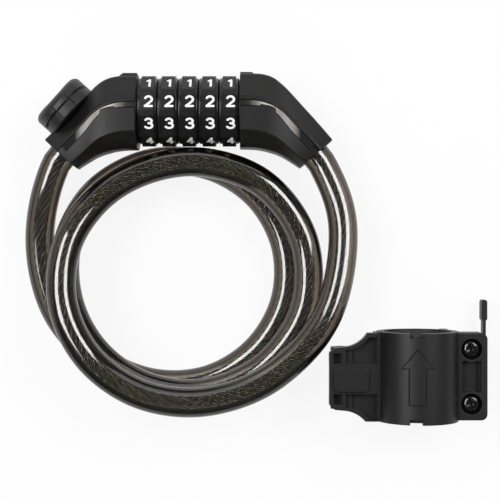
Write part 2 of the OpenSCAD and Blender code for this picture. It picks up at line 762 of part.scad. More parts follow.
module clamp_front() {
    inner = knuckle_half + knuckle_gap;
    color("#2c2c2e") at_bracket() difference() {
        union() {
            difference() {
                y_bar(0, clamp_z, -clamp_h / 2, clamp_h / 2, 2 * clamp_r);
                cut_below(front_z0);
            }
            screw_flange(front_z0, front_z1);
            hinge_flange();
            translate([0, arm_y, 0]) {
                front_knuckle(inner, arm_half);
                front_knuckle(-arm_half, -inner);
                round_plate(pad_x[0], pad_x[1], -pad_half - pad_low, pad_half - pad_low,
                    front_z1 - 1, front_z1 + pad_rise, pad_round);
            }
        }
        clamp_cutout();
        y_bar(hinge_x, hinge_z, -clamp_h, clamp_h, hinge_pin_d + 2 * seat_gap);
        translate([hinge_x - hinge_r - knuckle_room, arm_y - inner, 0])
            cube([2 * hinge_r + knuckle_room + knuckle_gap, 2 * inner, front_z0 + 2 * knuckle_gap]);
        arm_hollows();
        screw_holes(0, far, screw_d + 2 * screw_hole_gap);
        screw_holes(screw_seat_z, far, screw_head_d + 2 * head_hole_gap);
        difference() {
            translate([screw_x - recess_w / 2, -recess_h / 2, screw_seat_z])
                cube([recess_w, recess_h, flange_t]);
            screw_holes(0, far, screw_head_d + 2 * recess_wall);
        }
        front_notches();
        arrow();
    }
}

// The rear half carries the stud's slot, which is open at the top end
slot_play = 0.3;
stud_slide_gap = 0.4;
slot_lip_t = stud_neck_h - slot_play;
slot_room = stud_cap_t + stud_slide_gap;
slot_foot_y = -12;
carrier_half = 15.6;
carrier_top_y = 16.4;
carrier_sunk = 2;
rib_x = clamp_r - 4;
rib_t = 3;
hinge_arm_t = 4;
hinge_arm_x1 = -12;
latch_pivot = [25.6, -10];
latch_z0 = 3;
latch_z1 = 8;
latch_gap = 0.3;
lug_t = 3;
lug_r = 3.6;
lug_h = 10;
lug_x0 = 12;

// One of the two lugs that hold the latch's pin, between the heights z0 and z1
module latch_lug(z0, z1) {
    translate([lug_x0, latch_pivot[1] - lug_h / 2, z0])
        cube([latch_pivot[0] - lug_x0, lug_h, z1 - z0]);
    translate([latch_pivot[0], latch_pivot[1], z0]) cylinder(r = lug_r, h = z1 - z0);
}

module clamp_rear() {
    color("#2c2c2e") at_bracket() difference() {
        union() {
            difference() {
                y_bar(0, clamp_z, -clamp_h / 2, clamp_h / 2, 2 * clamp_r);
                cut_above(rear_z1);
            }
            screw_flange(rear_z0, rear_z1);
            translate([-carrier_half, -clamp_h / 2, 0])
                cube([2 * carrier_half, carrier_top_y + clamp_h / 2, carrier_t + carrier_sunk]);
            translate([rib_x, -flange_h / 2, 0]) cube([rib_t, flange_h, rear_z0 + 1]);
            translate([0, arm_y, 0]) {
                translate([hinge_x, -knuckle_half, hinge_z - hinge_arm_t / 2])
                    cube([hinge_arm_x1 - hinge_x, 2 * knuckle_half, hinge_arm_t]);
                y_bar(hinge_x, hinge_z, -knuckle_half, knuckle_half, 2 * hinge_r);
            }
            latch_lug(0, latch_z0 - latch_gap);
            latch_lug(latch_z1 + latch_gap, latch_z1 + latch_gap + lug_t);
        }
        clamp_cutout();
        y_bar(hinge_x, hinge_z, -clamp_h, clamp_h, hinge_pin_d + 2 * seat_gap);
        stud_slot();
        screw_holes(0, far, screw_d + 2 * screw_hole_gap);
        for (side = [-1, 1])
            translate([screw_x, side * screw_spacing / 2, rear_z0 - 1])
                rotate([0, 0, 30])
                    cylinder(d = nut_d + 2 * nut_gap, h = nut_t + 1 + nut_gap, $fn = 6);
        translate([latch_pivot[0], latch_pivot[1], -1])
            cylinder(d = latch_pin_d + 2 * seat_gap, h = latch_z1 + latch_gap + lug_t + 2);
    }
}

module stud_slot() {
    cap_half = stud_d / 2 + stud_slide_gap;
    neck_half = stud_neck_d / 2 + stud_slide_gap;
    translate([-cap_half, slot_foot_y + cap_half, slot_lip_t]) cube([2 * cap_half, clamp_h, slot_room]);
    translate([0, slot_foot_y + cap_half, slot_lip_t]) cylinder(r = cap_half, h = slot_room);
    translate([-neck_half, slot_foot_y + cap_half, -1]) cube([2 * neck_half, clamp_h, slot_lip_t + 2]);
    translate([0, slot_foot_y + cap_half, -1]) cylinder(r = neck_half, h = slot_lip_t + 2);
}

liner_inset = 0.6;
module liner(up) {
    half_h = clamp_h / 2 - liner_inset;
    color("#3a3a3b") at_bracket() difference() {
        y_bar(0, clamp_z, -half_h, half_h, 2 * bore_r_clamp - 2 * seat_gap);
        y_bar(0, clamp_z, -clamp_h, clamp_h, frame_tube_d);
        if (up > 0) cut_below(front_z0);
        else cut_above(rear_z1);
    }
}
module liner_front() { liner(1); }
module liner_rear() { liner(-1); }

nut_d = 8;
nut_t = 3.2;
nut_gap = 0.1;
cross_long = 4.6;
cross_wide = 1;
cross_deep = 1.4;
cross_turn = 20;
screw_head_t = 2.4;
screw_play = 0.05;
screw_len = screw_seat_z - rear_z0 - 0.4;
module clamp_screw(side) {
    color("#101113") at_bracket() translate([screw_x, side * screw_spacing / 2, 0]) difference() {
        union() {
            translate([0, 0, screw_seat_z + screw_play]) cylinder(d = screw_head_d, h = screw_head_t);
            translate([0, 0, screw_seat_z - screw_len]) cylinder(d = screw_d, h = screw_len + 1);
        }
        for (a = [cross_turn, cross_turn + 90])
            translate([0, 0, screw_seat_z + screw_head_t - cross_deep])
                rotate([0, 0, a])
                    translate([-cross_long / 2, -cross_wide / 2, 0])
                        cube([cross_long, cross_wide, 2 * cross_deep]);
    }
}
module clamp_screw_upper() { clamp_screw(1); }
module clamp_screw_lower() { clamp_screw(-1); }
module clamp_nuts() {
    color("#b4b6b8") at_bracket() for (side = [-1, 1])
        translate([screw_x, side * screw_spacing / 2, rear_z0 + nut_gap]) difference() {
            rotate([0, 0, 30]) cylinder(d = nut_d, h = nut_t - nut_gap, $fn = 6);
            translate([0, 0, -1]) cylinder(d = screw_d + 2 * run_gap, h = nut_t + 2);
        }
}
pin_inset = 0.3;
module hinge_pin() {
    color("#a5a7a9") at_bracket()
        translate([0, arm_y, 0])
            y_bar(hinge_x, hinge_z, -arm_half + pin_inset, arm_half - pin_inset, hinge_pin_d);
}

// The release latch: a lever that turns about an upright pin
latch_pin_d = 2.6;
latch_t = 1.2;
latch_hub_r = 3.2;
latch_web_h = 4.8;
latch_head_y = [21.2, 30];
module release_latch() {
    high = latch_z1 - latch_z0;
    color("#232325") at_bracket() difference() {
        union() {
            translate([latch_pivot[0], latch_pivot[1], latch_z0]) cylinder(r = latch_hub_r, h = high);
            translate([latch_pivot[0], latch_pivot[1] - latch_web_h / 2, latch_z0])
                cube([latch_x + latch_t / 2 - latch_pivot[0], latch_web_h, high]);
            translate([latch_x - latch_t / 2, latch_pivot[1], latch_z0])
                cube([latch_t, latch_head_y[0] - latch_pivot[1] + 1, high]);
            round_plate(latch_x - latch_head_w / 2, latch_x + latch_head_w / 2, latch_head_y[0],
                latch_head_y[1], latch_z0, latch_z1, 1);
        }
        translate([latch_pivot[0], latch_pivot[1], latch_z0 - 1])
            cylinder(d = latch_pin_d + 2 * run_gap, h = high + 2);
    }
}
module latch_pin() {
    color("#a5a7a9") at_bracket() translate([latch_pivot[0], latch_pivot[1], pin_inset])
        cylinder(d = latch_pin_d, h = latch_z1 + latch_gap + lug_t - 2 * pin_inset);
}
// The coil spring that pushes the lever out again, between the flange and the stem
spring_d = 4;
spring_wire = 0.7;
spring_turns = 4;
spring_y = 2;
spring_rings = 8;
spring_x0 = max(carrier_half, rib_x + rib_t);
spring_x1 = latch_x - latch_t / 2;
spring_line = [
    for (k = [0 : spring_turns * spring_rings])
        let (a = k * 360 / spring_rings, f = k / (spring_turns * spring_rings), w = spring_wire / 2)
        [spring_x0 + w + 0.05 + f * (spring_x1 - spring_x0 - 2 * w - 0.1),
            (spring_d - spring_wire) / 2 * cos(a), (spring_d - spring_wire) / 2 * sin(a)]
];
module latch_spring() {
    n = len(spring_line) - 1;
    ways = [for (i = [0 : n]) heading(spring_line, i, [0, 0, 1], [0, 0, 1])];
    color("#c9cbcc") at_bracket() translate([0, spring_y, (latch_z0 + latch_z1) / 2])
        tube(spring_line, ways, [1, 0, 0], spring_wire / 2, 0, 6);
}
spring_gap = norm(spring_line[spring_rings] - spring_line[0]) - spring_wire;
echo(least_gap_of_spring_turns = spring_gap, origin_shift = origin_shift);

left_housing_front();
left_housing_back();
left_inlay();
lock_core();
left_ferrule();
lock_tube();
detent_spring();
tube_end_cap();
stud_base();
stud_cap();
stud_screw();
dial_1();
dial_2();
dial_3();
dial_4();
dial_5();
code_ring_1();
code_ring_2();
code_ring_3();
code_ring_4();
code_ring_5();
right_housing_front();
right_housing_back();
right_inlay();
plug_core();
plug_rod();
right_ferrule();
cable_jacket_left();
cable_jacket_coil();
cable_jacket_right();
cable_core_left();
cable_core_coil();
cable_core_right();
clamp_front();
clamp_rear();
liner_front();
liner_rear();
clamp_screw_upper();
clamp_screw_lower();
clamp_nuts();
hinge_pin();
release_latch();
latch_pin();
latch_spring();
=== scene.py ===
import math
import bpy
import bmesh
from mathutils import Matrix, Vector


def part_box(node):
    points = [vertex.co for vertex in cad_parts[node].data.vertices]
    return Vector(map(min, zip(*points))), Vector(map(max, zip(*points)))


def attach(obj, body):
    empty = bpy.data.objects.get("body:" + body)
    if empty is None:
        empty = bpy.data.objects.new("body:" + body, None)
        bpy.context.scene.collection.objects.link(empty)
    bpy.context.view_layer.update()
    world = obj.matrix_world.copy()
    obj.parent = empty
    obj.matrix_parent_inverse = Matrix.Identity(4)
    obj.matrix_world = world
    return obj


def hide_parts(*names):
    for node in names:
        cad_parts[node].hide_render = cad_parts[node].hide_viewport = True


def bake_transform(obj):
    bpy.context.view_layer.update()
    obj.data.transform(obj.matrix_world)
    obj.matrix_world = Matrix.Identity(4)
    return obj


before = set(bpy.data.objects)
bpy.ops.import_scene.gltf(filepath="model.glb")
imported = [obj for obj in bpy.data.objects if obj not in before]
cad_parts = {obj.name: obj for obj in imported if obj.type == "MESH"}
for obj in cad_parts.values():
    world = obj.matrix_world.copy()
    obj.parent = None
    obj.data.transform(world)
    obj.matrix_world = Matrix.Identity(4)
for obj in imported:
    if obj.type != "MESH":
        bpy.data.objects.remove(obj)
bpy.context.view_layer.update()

# Camera: a long lens half a metre above the table, looking straight down on the lock,
# which lies there with its dials up and its bracket beside it.
camera_data = bpy.data.cameras.new("camera")
camera_data.lens = 87.3
camera_data.sensor_width = 36
camera_data.clip_start = 0.01
camera_data.clip_end = 10
camera = bpy.data.objects.new("camera", camera_data)
camera.location = (-0.00599, -0.00216, 0.515)
bpy.context.scene.collection.objects.link(camera)
bpy.context.scene.camera = camera


# Locking cable: a twisted steel rope inside a clear smoky vinyl jacket 12 mm thick,
# extruded round it. It runs out of the plug's housing, goes round 2.7 times and ends
# in the lock's housing, and a ferrule is crimped on each end.
dials_middle = (-31.06195, 55.0)
dial_middle_z = 15.5


def lock_point(x, y, z):
    """A point given in mm from the middle of the dials, in the frame's metres."""
    return Vector(((x + dials_middle[0]) / 1000, (y + dials_middle[1]) / 1000, z / 1000))


# The cable's stops are [radius, height] in mm, every 30 degrees round the coil
cable_stops = [
    [70.6, 17.8], [63.6, 24.8], [56.8, 29.4], [52.2, 31.2], [49.6, 31.4], [47.8, 31],
    [46.4, 29.8], [45.2, 26.4], [44.2, 21], [44.4, 18.9], [47.2, 18.9], [51.4, 18],
    [54, 16.4], [54.3, 16], [52.4, 17.3], [50, 18.5], [47.6, 19], [45.9, 18.6],
    [45.7, 17.2], [47, 13.6], [48.2, 8.6], [47.8, 6.4], [47, 6.2], [46.6, 6.2],
    [46.3, 6.2], [46, 6.2], [45.8, 6.2], [46.2, 6.2], [47.1, 6.2], [49.3, 6.2],
    [54, 6.4], [59.6, 9.2],
]
coil_middle = (-5, -67)
first_stop_turn = 15
stop_pitch = 30
mouth_x, mouth_y = 52.05, -18.1
exit_slant = math.radians(38)
reach_in = -2
straight_out = 4
aim_back = -26


def cable_exit(side, out):
    """A point on the cable's line where it leaves a housing, out mm beyond its end face."""
    return lock_point(side * (mouth_x + out * math.sin(exit_slant)),
                      mouth_y - out * math.cos(exit_slant), dial_middle_z)


def rounded_line(points, steps, before, after):
    """A smooth line through points, with steps stretches between two of them."""
    line = []
    for i in range(len(points) - 1):
        a = before if i == 0 else points[i - 1]
        b, c = points[i], points[i + 1]
        d = after if i == len(points) - 2 else points[i + 2]
        for k in range(steps):
            t = k / steps
            line.append(0.5 * (2 * b + (c - a) * t + (2 * a - 5 * b + 4 * c - d) * t * t
                               + (3 * b - a - 3 * c + d) * t ** 3))
    line.append(points[-1].copy())
    return line


cable_step = 12
coil_points = []
for number, (radius, height) in enumerate(cable_stops):
    turn = math.radians(first_stop_turn - stop_pitch * number)
    coil_points.append(lock_point(coil_middle[0] + radius * math.cos(turn),
                                  coil_middle[1] + radius * math.sin(turn), height))
cable_line = [cable_exit(1, reach_in)] + rounded_line(
    [cable_exit(1, straight_out)] + coil_points + [cable_exit(-1, straight_out)], cable_step,
    cable_exit(1, aim_back), cable_exit(-1, aim_back)) + [cable_exit(-1, reach_in)]
lead_stops = 3
lead_end = 1 + lead_stops * cable_step


def line_ways(line):
    """The direction of a line at each of its points."""
    ways = []
    for i in range(len(line)):
        a, b = line[max(i - 1, 0)], line[min(i + 1, len(line) - 1)]
        ways.append((b - a).normalized())
    return ways


def line_lengths(line):
    """The distance along a line to each of its points."""
    lengths = [0.0]
    for a, b in zip(line, line[1:]):
        lengths.append(lengths[-1] + (b - a).length)
    return lengths


def new_piece(name, mesh_maker, finish, body, smooth_under=40):
    """An object from a bmesh, with its finish, riding on a body of the lock."""
    mesh = bpy.data.meshes.new(name)
    work = bmesh.new()
    mesh_maker(work)
    work.to_mesh(mesh)
    work.free()
    mesh.shade_smooth()
    mesh.set_sharp_from_angle(angle=math.radians(smooth_under))
    mesh.materials.append(finish)
    piece = bpy.data.objects.new(name, mesh)
    bpy.context.scene.collection.objects.link(piece)
    if body:
        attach(piece, body)
    return piece


def sweep(work, line, ways, lengths, outline, close_start=True, close_end=True, twist=0.0):
    """A skin along a line. outline gives [across, up] in metres for each corner, and
    twist turns it by that many turns a metre."""
    layer = work.loops.layers.uv.verify()
    rings = []
    for place, way, run in zip(line, ways, lengths):
        across = way.cross(Vector((0, 0, 1))).normalized()
        up = across.cross(way)
        spin = 2 * math.pi * twist * run
        c, s = math.cos(spin), math.sin(spin)
        rings.append([work.verts.new(place + (x * c - y * s) * across + (x * s + y * c) * up)
                      for x, y in outline])
    n = len(outline)
    for j in range(len(rings) - 1):
        for i in range(n):
            a, b = rings[j], rings[j + 1]
            k = (i + 1) % n
            face = work.faces.new((a[i], b[i], b[k], a[k]))
            for loop, (u, v) in zip(face.loops, ((i, j), (i, j + 1), (i + 1, j + 1), (i + 1, j))):
                loop[layer].uv = (u / n, lengths[v])
    if close_start:
        work.faces.new(rings[0])
    if close_end:
        work.faces.new(rings[-1][::-1])
    return rings


def new_finish(name):
    """An empty node finish and its Principled shader."""
    finish = bpy.data.materials.new(name)
    finish.use_nodes = True
    finish.node_tree.nodes.clear()
    out = finish.node_tree.nodes.new("ShaderNodeOutputMaterial")
    shader = finish.node_tree.nodes.new("ShaderNodeBsdfPrincipled")
    finish.node_tree.links.new(shader.outputs["BSDF"], out.inputs["Surface"])
    return finish, finish.node_tree.nodes, finish.node_tree.links, shader


def colour_ramp(nodes, *stops):
    """A colour ramp node from (position, colour) stops."""
    ramp = nodes.new("ShaderNodeValToRGB")
    elements = ramp.color_ramp.elements
    for number, (position, colour) in enumerate(stops):
        stop = elements[number] if number < 2 else elements.new(position)
        stop.position = position
        stop.color = (*colour, 1)
    return ramp


def maths(nodes, links, operation, *values):
    """The output of a Math node. Each value is a number or an output that feeds it."""
    node = nodes.new("ShaderNodeMath")
    node.operation = operation
    for number, value in enumerate(values):
        if isinstance(value, (int, float)):
            node.inputs[number].default_value = value
        else:
            links.new(value, node.inputs[number])
    return node.outputs["Value"]


def map_range(nodes, links, value, span=(0, 1), result=(0, 1)):
    """The output of a Map Range node that takes value from one span to another."""
    node = nodes.new("ShaderNodeMapRange")
    node.inputs["From Min"].default_value, node.inputs["From Max"].default_value = span
    node.inputs["To Min"].default_value, node.inputs["To Max"].default_value = result
    links.new(value, node.inputs["Value"])
    return node.outputs["Result"]


# The jacket's finish: clear brown-grey vinyl, darker where more of it is looked through,
# with a skin that shines most where it is seen square on
smoky_vinyl, nodes, links, shader = new_finish("smoky_vinyl")
depth = nodes.new("ShaderNodeLayerWeight")
depth.inputs["Blend"].default_value = 0.5
tint = colour_ramp(nodes, (0.06, (0.6, 0.56, 0.46)), (0.13, (0.032, 0.024, 0.018)),
                   (0.40, (0.052, 0.038, 0.028)), (0.85, (0.035, 0.027, 0.022)))
skin = map_range(nodes, links, depth.outputs["Facing"], (0.12, 0.32), (1, 0))
links.new(depth.outputs["Facing"], tint.inputs["Fac"])
links.new(tint.outputs["Color"], shader.inputs["Base Color"])
links.new(skin, shader.inputs["Coat Weight"])
shader.inputs["Transmission Weight"].default_value = 1.0
shader.inputs["IOR"].default_value = 1.5
shader.inputs["Roughness"].default_value = 0.09
shader.inputs["Coat IOR"].default_value = 1.75
shader.inputs["Coat Roughness"].default_value = 0.09

# The rope's finish: dark oiled wires, with painted highlights in dashes along the top of each
# wire and painted shade between the wires
rope_steel, nodes, links, shader = new_finish("rope_steel")
rope_strands = 6
wires_seen = 3
place = nodes.new("ShaderNodeUVMap")
split = nodes.new("ShaderNodeSeparateXYZ")
links.new(place.outputs["UV"], split.inputs["Vector"])
strand = maths(nodes, links, "MULTIPLY", split.outputs["X"], rope_strands * wires_seen)
# Painted highlight mask: how near a point lies to the crest of its wire, 0 between wires
painted_glint_mask = maths(nodes, links, "PINGPONG", strand, 0.5)
stretch = nodes.new("ShaderNodeMapping")
stretch.inputs["Scale"].default_value = (24, 950, 1)
spots = nodes.new("ShaderNodeTexNoise")
spots.inputs["Scale"].default_value = 1.0
spots.inputs["Detail"].default_value = 3
spots.inputs["Roughness"].default_value = 0.65
# Painted highlights and shade: this ramp paints bright glints on each wire's crest and the
# darkest colour between the wires
painted_glint_ramp = colour_ramp(nodes, (0.08, (0.009, 0.008, 0.006)), (0.27, (1.0, 0.95, 0.78)),
                     (0.16, (0.035, 0.031, 0.022)), (0.21, (0.22, 0.2, 0.145)))
wires = nodes.new("ShaderNodeBump")
wires.inputs["Strength"].default_value = 0.35
wires.inputs["Distance"].default_value = 0.0001
links.new(place.outputs["UV"], stretch.inputs["Vector"])
links.new(stretch.outputs["Vector"], spots.inputs["Vector"])
links.new(maths(nodes, links, "MULTIPLY", spots.outputs["Fac"], painted_glint_mask), painted_glint_ramp.inputs["Fac"])
links.new(painted_glint_ramp.outputs["Color"], shader.inputs["Base Color"])
links.new(spots.outputs["Fac"], wires.inputs["Height"])
links.new(wires.outputs["Normal"], shader.inputs["Normal"])
shader.inputs["Metallic"].default_value = 0.7
shader.inputs["Roughness"].default_value = 0.38

# The sections of the jacket and of the rope, in metres. The rope's six strands turn once
# round it every 24 mm.
jacket_r = 0.006
jacket_sides = 40
jacket_outline = []
for k in range(jacket_sides):
    turn = 2 * math.pi * k / jacket_sides
    jacket_outline.append((jacket_r * math.cos(turn), jacket_r * math.sin(turn)))
strand_r = 0.00065
strand_out = 0.00125
strand_steps = 4
half_strand = 180 / rope_strands
rope_outline = []
for k in range(rope_strands):
    for j in range(-strand_steps, strand_steps):
        turn = math.radians(half_strand * j / strand_steps)
        chord = strand_r ** 2 - (strand_out * math.sin(turn)) ** 2
        reach = strand_out * math.cos(turn) + math.sqrt(max(chord, 0))
        turn += 2 * math.pi * k / rope_strands
        rope_outline.append((reach * math.cos(turn), reach * math.sin(turn)))
lay_pitch = 0.024
rope_lay = -1 / lay_pitch


def steel_line(first, final, step=0.0012):
    """Points close together on the cable's line, for the rope's twist."""
    line, lengths = cable_line[first:final + 1], line_lengths(cable_line[first:final + 1])
    count = int(lengths[-1] / step)
    fine, k = [], 0
    for j in range(count + 1):
        run = lengths[-1] * j / count
        while k < len(line) - 2 and lengths[k + 1] < run:
            k += 1
        t = (run - lengths[k]) / (lengths[k + 1] - lengths[k])
        fine.append(line[k].lerp(line[k + 1], t))
    return fine


cable_ways = line_ways(cable_line)
cable_runs = line_lengths(cable_line)


cable_smooth = 80


def cable_stretch(name, body, first, final, closed):
    """The jacket and the rope of the cable between two points of its line."""
    jacket = new_piece(name + "_jacket", lambda work: sweep(
        work, cable_line[first:final + 1], cable_ways[first:final + 1],
        cable_runs[first:final + 1], jacket_outline, closed[0], closed[1]),
        smoky_vinyl, body, cable_smooth)
    fine = steel_line(first, final)
    runs = [cable_runs[first] + run for run in line_lengths(fine)]
    rope = new_piece(name + "_rope", lambda work: sweep(
        work, fine, line_ways(fine), runs, rope_outline, closed[0], closed[1], rope_lay),
        rope_steel, body, cable_smooth)
    return jacket, rope


last_point = len(cable_line) - 1
plug_jacket, plug_rope = cable_stretch("plug_lead", None, 0, lead_end, (True, False))
coil_jacket, coil_rope = cable_stretch("coil", "lock_body", lead_end, last_point, (False, True))
for piece in (plug_jacket, plug_rope):
    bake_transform(piece)
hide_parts("cable_jacket_right")
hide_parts("cable_core_right")
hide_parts("cable_jacket_coil", "cable_jacket_left")
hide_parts("cable_core_coil", "cable_core_left")


# Dials: five moulded black wheels, each with a plain rim and, standing on it, a narrower
# band of ten flat faces printed with the digits. They turn on the lock's tube, and each
# carries its code ring.
def moulded_finish(name, colour, roughness, grain=0.00002, grain_size=0.0004, coat=0.0,
                   edge=0.0, shine=0.5):
    """Moulded plastic with a fine grain and a little unevenness in its gloss. edge is the
    radius of its worn corners in metres."""
    finish, nodes, links, shader = new_finish(name)
    shader.inputs["Base Color"].default_value = (*colour, 1)
    shader.inputs["Specular IOR Level"].default_value = shine
    shader.inputs["Coat Weight"].default_value = coat
    shader.inputs["Coat Roughness"].default_value = 0.12
    place = nodes.new("ShaderNodeTexCoord")
    cells = nodes.new("ShaderNodeTexNoise")
    cells.inputs["Scale"].default_value = 1 / grain_size
    cells.inputs["Detail"].default_value = 2
    patches = nodes.new("ShaderNodeTexNoise")
    patches.inputs["Scale"].default_value = 60
    spread = 0.05
    gloss = map_range(nodes, links, patches.outputs["Fac"],
                      result=(roughness - spread, roughness + spread))
    bump = nodes.new("ShaderNodeBump")
    bump.inputs["Strength"].default_value = 1.0
    bump.inputs["Distance"].default_value = grain
    if edge:
        corners = nodes.new("ShaderNodeBevel")
        corners.samples = 6
        corners.inputs["Radius"].default_value = edge
        links.new(corners.outputs["Normal"], bump.inputs["Normal"])
    links.new(place.outputs["Object"], cells.inputs["Vector"])
    links.new(place.outputs["Object"], patches.inputs["Vector"])
    links.new(gloss, shader.inputs["Roughness"])
    links.new(cells.outputs["Fac"], bump.inputs["Height"])
    links.new(bump.outputs["Normal"], shader.inputs["Normal"])
    return finish


dial_black = moulded_finish("dial_black", (0.008, 0.008, 0.009), 0.27)
digit_white = moulded_finish("digit_white", (0.93, 0.93, 0.92), 0.4)
dial_pitch = 8.3
band_pitch = 8.22
band_shift = 0.2
digit_shift = 0.85
digit_pitch = 36
digit_turn = -80.7
half_face = 13.51
face_corner_r = 14.7


def dial_place(x, radius, turn):
    """A point on a dial: radius in mm from its axis, turn in degrees from up towards -Y."""
    a = math.radians(turn)
    return lock_point(x, -radius * math.sin(a), dial_middle_z + radius * math.cos(a))


def arc(cx, cy, rx, ry, a0, a1, count=14):
    """Points of an elliptic arc between two angles in degrees."""
    return [(cx + rx * math.cos(math.radians(a0 + (a1 - a0) * k / count)),
             cy + ry * math.sin(math.radians(a0 + (a1 - a0) * k / count)))
            for k in range(count + 1)]


def dial_mesh(work, x):
    """A rim with round shoulders, and the band of faces standing on it, with five fine
    ribs between two faces. Sections are (mm along the axis, radius) corners."""
    rim_half, bore_r, shoulder_r = 4.1, 9.04, 0.7
    shoulder = arc(3.4, 12.8, shoulder_r, shoulder_r, 0, 90, 6)
    rim = ([(-rim_half, bore_r)] + [(-u, r) for u, r in shoulder] + shoulder[::-1]
           + [(rim_half, bore_r)])
    count = 80
    rings = [[work.verts.new(dial_place(x + u, r, k * 360 / count)) for u, r in rim]
             for k in range(count)]
    for k in range(count):
        a, b = rings[k], rings[(k + 1) % count]
        for i in range(len(rim)):
            j = (i + 1) % len(rim)
            work.faces.new((a[i], b[i], b[j], a[j]))
    x = x * band_pitch / dial_pitch + band_shift
    band_section = [(-2.76, -2.2), (-2.76, -0.1), (-2.68, 0.0),
                    (2.68, 0.0), (2.76, -0.1), (2.76, -2.2)]
    rib_steps, rib_depth = 10, 0.06
    rib_pitch = (digit_pitch - 2 * half_face) / rib_steps
    bands = []
    for k in range(10):
        for step in range(-1, rib_steps):
            off = half_face + step * rib_pitch if step >= 0 else -half_face
            turn = digit_turn + digit_pitch * k + off
            low = rib_depth if step > 0 and step % 2 else 0.0
            bands.append([work.verts.new(dial_place(x + u, face_corner_r - low + drop, turn))
                          for u, drop in band_section])
    for k in range(len(bands)):
        a, b = bands[k], bands[(k + 1) % len(bands)]
        for i in range(len(band_section) - 1):
            work.faces.new((a[i], b[i], b[i + 1], a[i + 1]))


# The strokes of the digits 0 to 9, in mm to the right of and above a digit's middle
digit_strokes = [
    [arc(0, 0, 1.45, 2.1, 90, 450, 28)],
    [[(0.2, 2.05), (0.2, -2.1)], [(-0.7, 1.35), (0.2, 2.05)]],
    [arc(0, 0.8, 1.38, 1.3, 155, -35) + [(-1.35, -2.05)], [(-1.35, -2.1), (1.4, -2.1)]],
    [arc(-0.05, 1.03, 1.3, 1.07, 150, -80), arc(-0.05, -0.98, 1.5, 1.12, 90, -150)],
    [[(0.5, -2.1), (0.5, 2.0)], [(0.5, 2.0), (-1.15, -0.95)], [(-1.15, -0.95), (1.3, -0.95)]],
    [[(1.2, 2.1), (-0.95, 2.1), (-1.15, 0.35)] + arc(-0.05, -0.68, 1.45, 1.42, 130, -145)],
    [arc(0, -0.75, 1.42, 1.35, 0, 360, 24), arc(1.0, -0.75, 2.42, 2.85, 180, 95, 10)],
    [[(-1.45, 2.1), (1.4, 2.1)], [(1.4, 2.1), (0.3, 0.3), (-0.35, -2.1)]],
    [arc(0, 1.05, 1.2, 1.02, 0, 360, 24), arc(0, -1.0, 1.47, 1.12, 0, 360, 24)],
    [arc(0, 0.75, 1.42, 1.35, 0, 360, 24), arc(-1.0, 0.75, 2.42, 2.85, 0, -85, 10)],
]
digit_half_stroke = 0.47
digit_height_share = 0.95
digit_rise = 0.28
ink_height = 0.03
ink_step = 0.01
least_corner = 0.6
cap_steps = 6


def digit_mesh(work, x, digit):
    """A printed digit on its face, drawn as round-ended strokes."""
    turn = digit_turn + digit_pitch * digit
    flat = face_corner_r * math.cos(math.radians(half_face))
    centre = dial_place(x * band_pitch / dial_pitch + digit_shift, flat, turn)
    out = dial_place(x, flat + 1, turn) - centre
    right = lock_point(1, 0, 0) - lock_point(0, 0, 0)
    up = out.cross(right) * 1000 * digit_height_share
    centre += digit_rise * up
    for level, stroke in enumerate(digit_strokes[digit]):
        height = ink_height + ink_step * level
        left_side, right_side = [], []
        for i, (px, py) in enumerate(stroke):
            ax, ay = stroke[max(i - 1, 0)]
            bx, by = stroke[min(i + 1, len(stroke) - 1)]
            first = Vector((px - ax, py - ay)).normalized() if i else None
            after = Vector((bx - px, by - py)).normalized() if i < len(stroke) - 1 else None
            way = (first or after) + (after or first)
            way.normalize()
            wide = digit_half_stroke / max(least_corner, way.dot(first or after))
            left_side.append((px - way.y * wide, py + way.x * wide))
            right_side.append((px + way.y * wide, py - way.x * wide))
        (sx, sy), (tx, ty) = stroke[0], stroke[-1]
        s_turn = math.degrees(math.atan2(left_side[0][1] - sy, left_side[0][0] - sx))
        t_turn = math.degrees(math.atan2(right_side[-1][1] - ty, right_side[-1][0] - tx))
        start_cap = arc(sx, sy, digit_half_stroke, digit_half_stroke,
                        s_turn, s_turn + 180, cap_steps)
        end_cap = arc(tx, ty, digit_half_stroke, digit_half_stroke,
                      t_turn, t_turn + 180, cap_steps)

        def spot(p):
            return work.verts.new(centre + right * p[0] + up * p[1] + out * height)

        lefts, rights = [spot(p) for p in left_side], [spot(p) for p in right_side]
        for i in range(len(stroke) - 1):
            work.faces.new((lefts[i], rights[i], rights[i + 1], lefts[i + 1]))
        if (sx, sy) != (tx, ty):
            work.faces.new([spot(p) for p in start_cap])
            work.faces.new([spot(p) for p in end_cap])


for number in range(1, 6):
    x = (number - 3) * dial_pitch
    dial = new_piece(f"wheel_{number}", lambda work: dial_mesh(work, x), dial_black,
                     f"dial_body_{number}", 20)
    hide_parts(f"dial_{number}")

    def all_digits(work):
        for digit in range(10):
            digit_mesh(work, x, digit)

    digits = new_piece(f"wheel_{number}_digits", all_digits, digit_white, f"dial_body_{number}")


# Housings: two glass-filled nylon shells with the dials between them, each moulded in two
# halves with a bevelled face, a soft strip in its channel and a tab at the top. The left
# one is fixed to the lock's tube, and the right one comes away with the plug.
housing_black = moulded_finish("housing_black", (0.0072, 0.0068, 0.0066), 0.44, 0.00003, 0.0005,
                               shine=0.36)
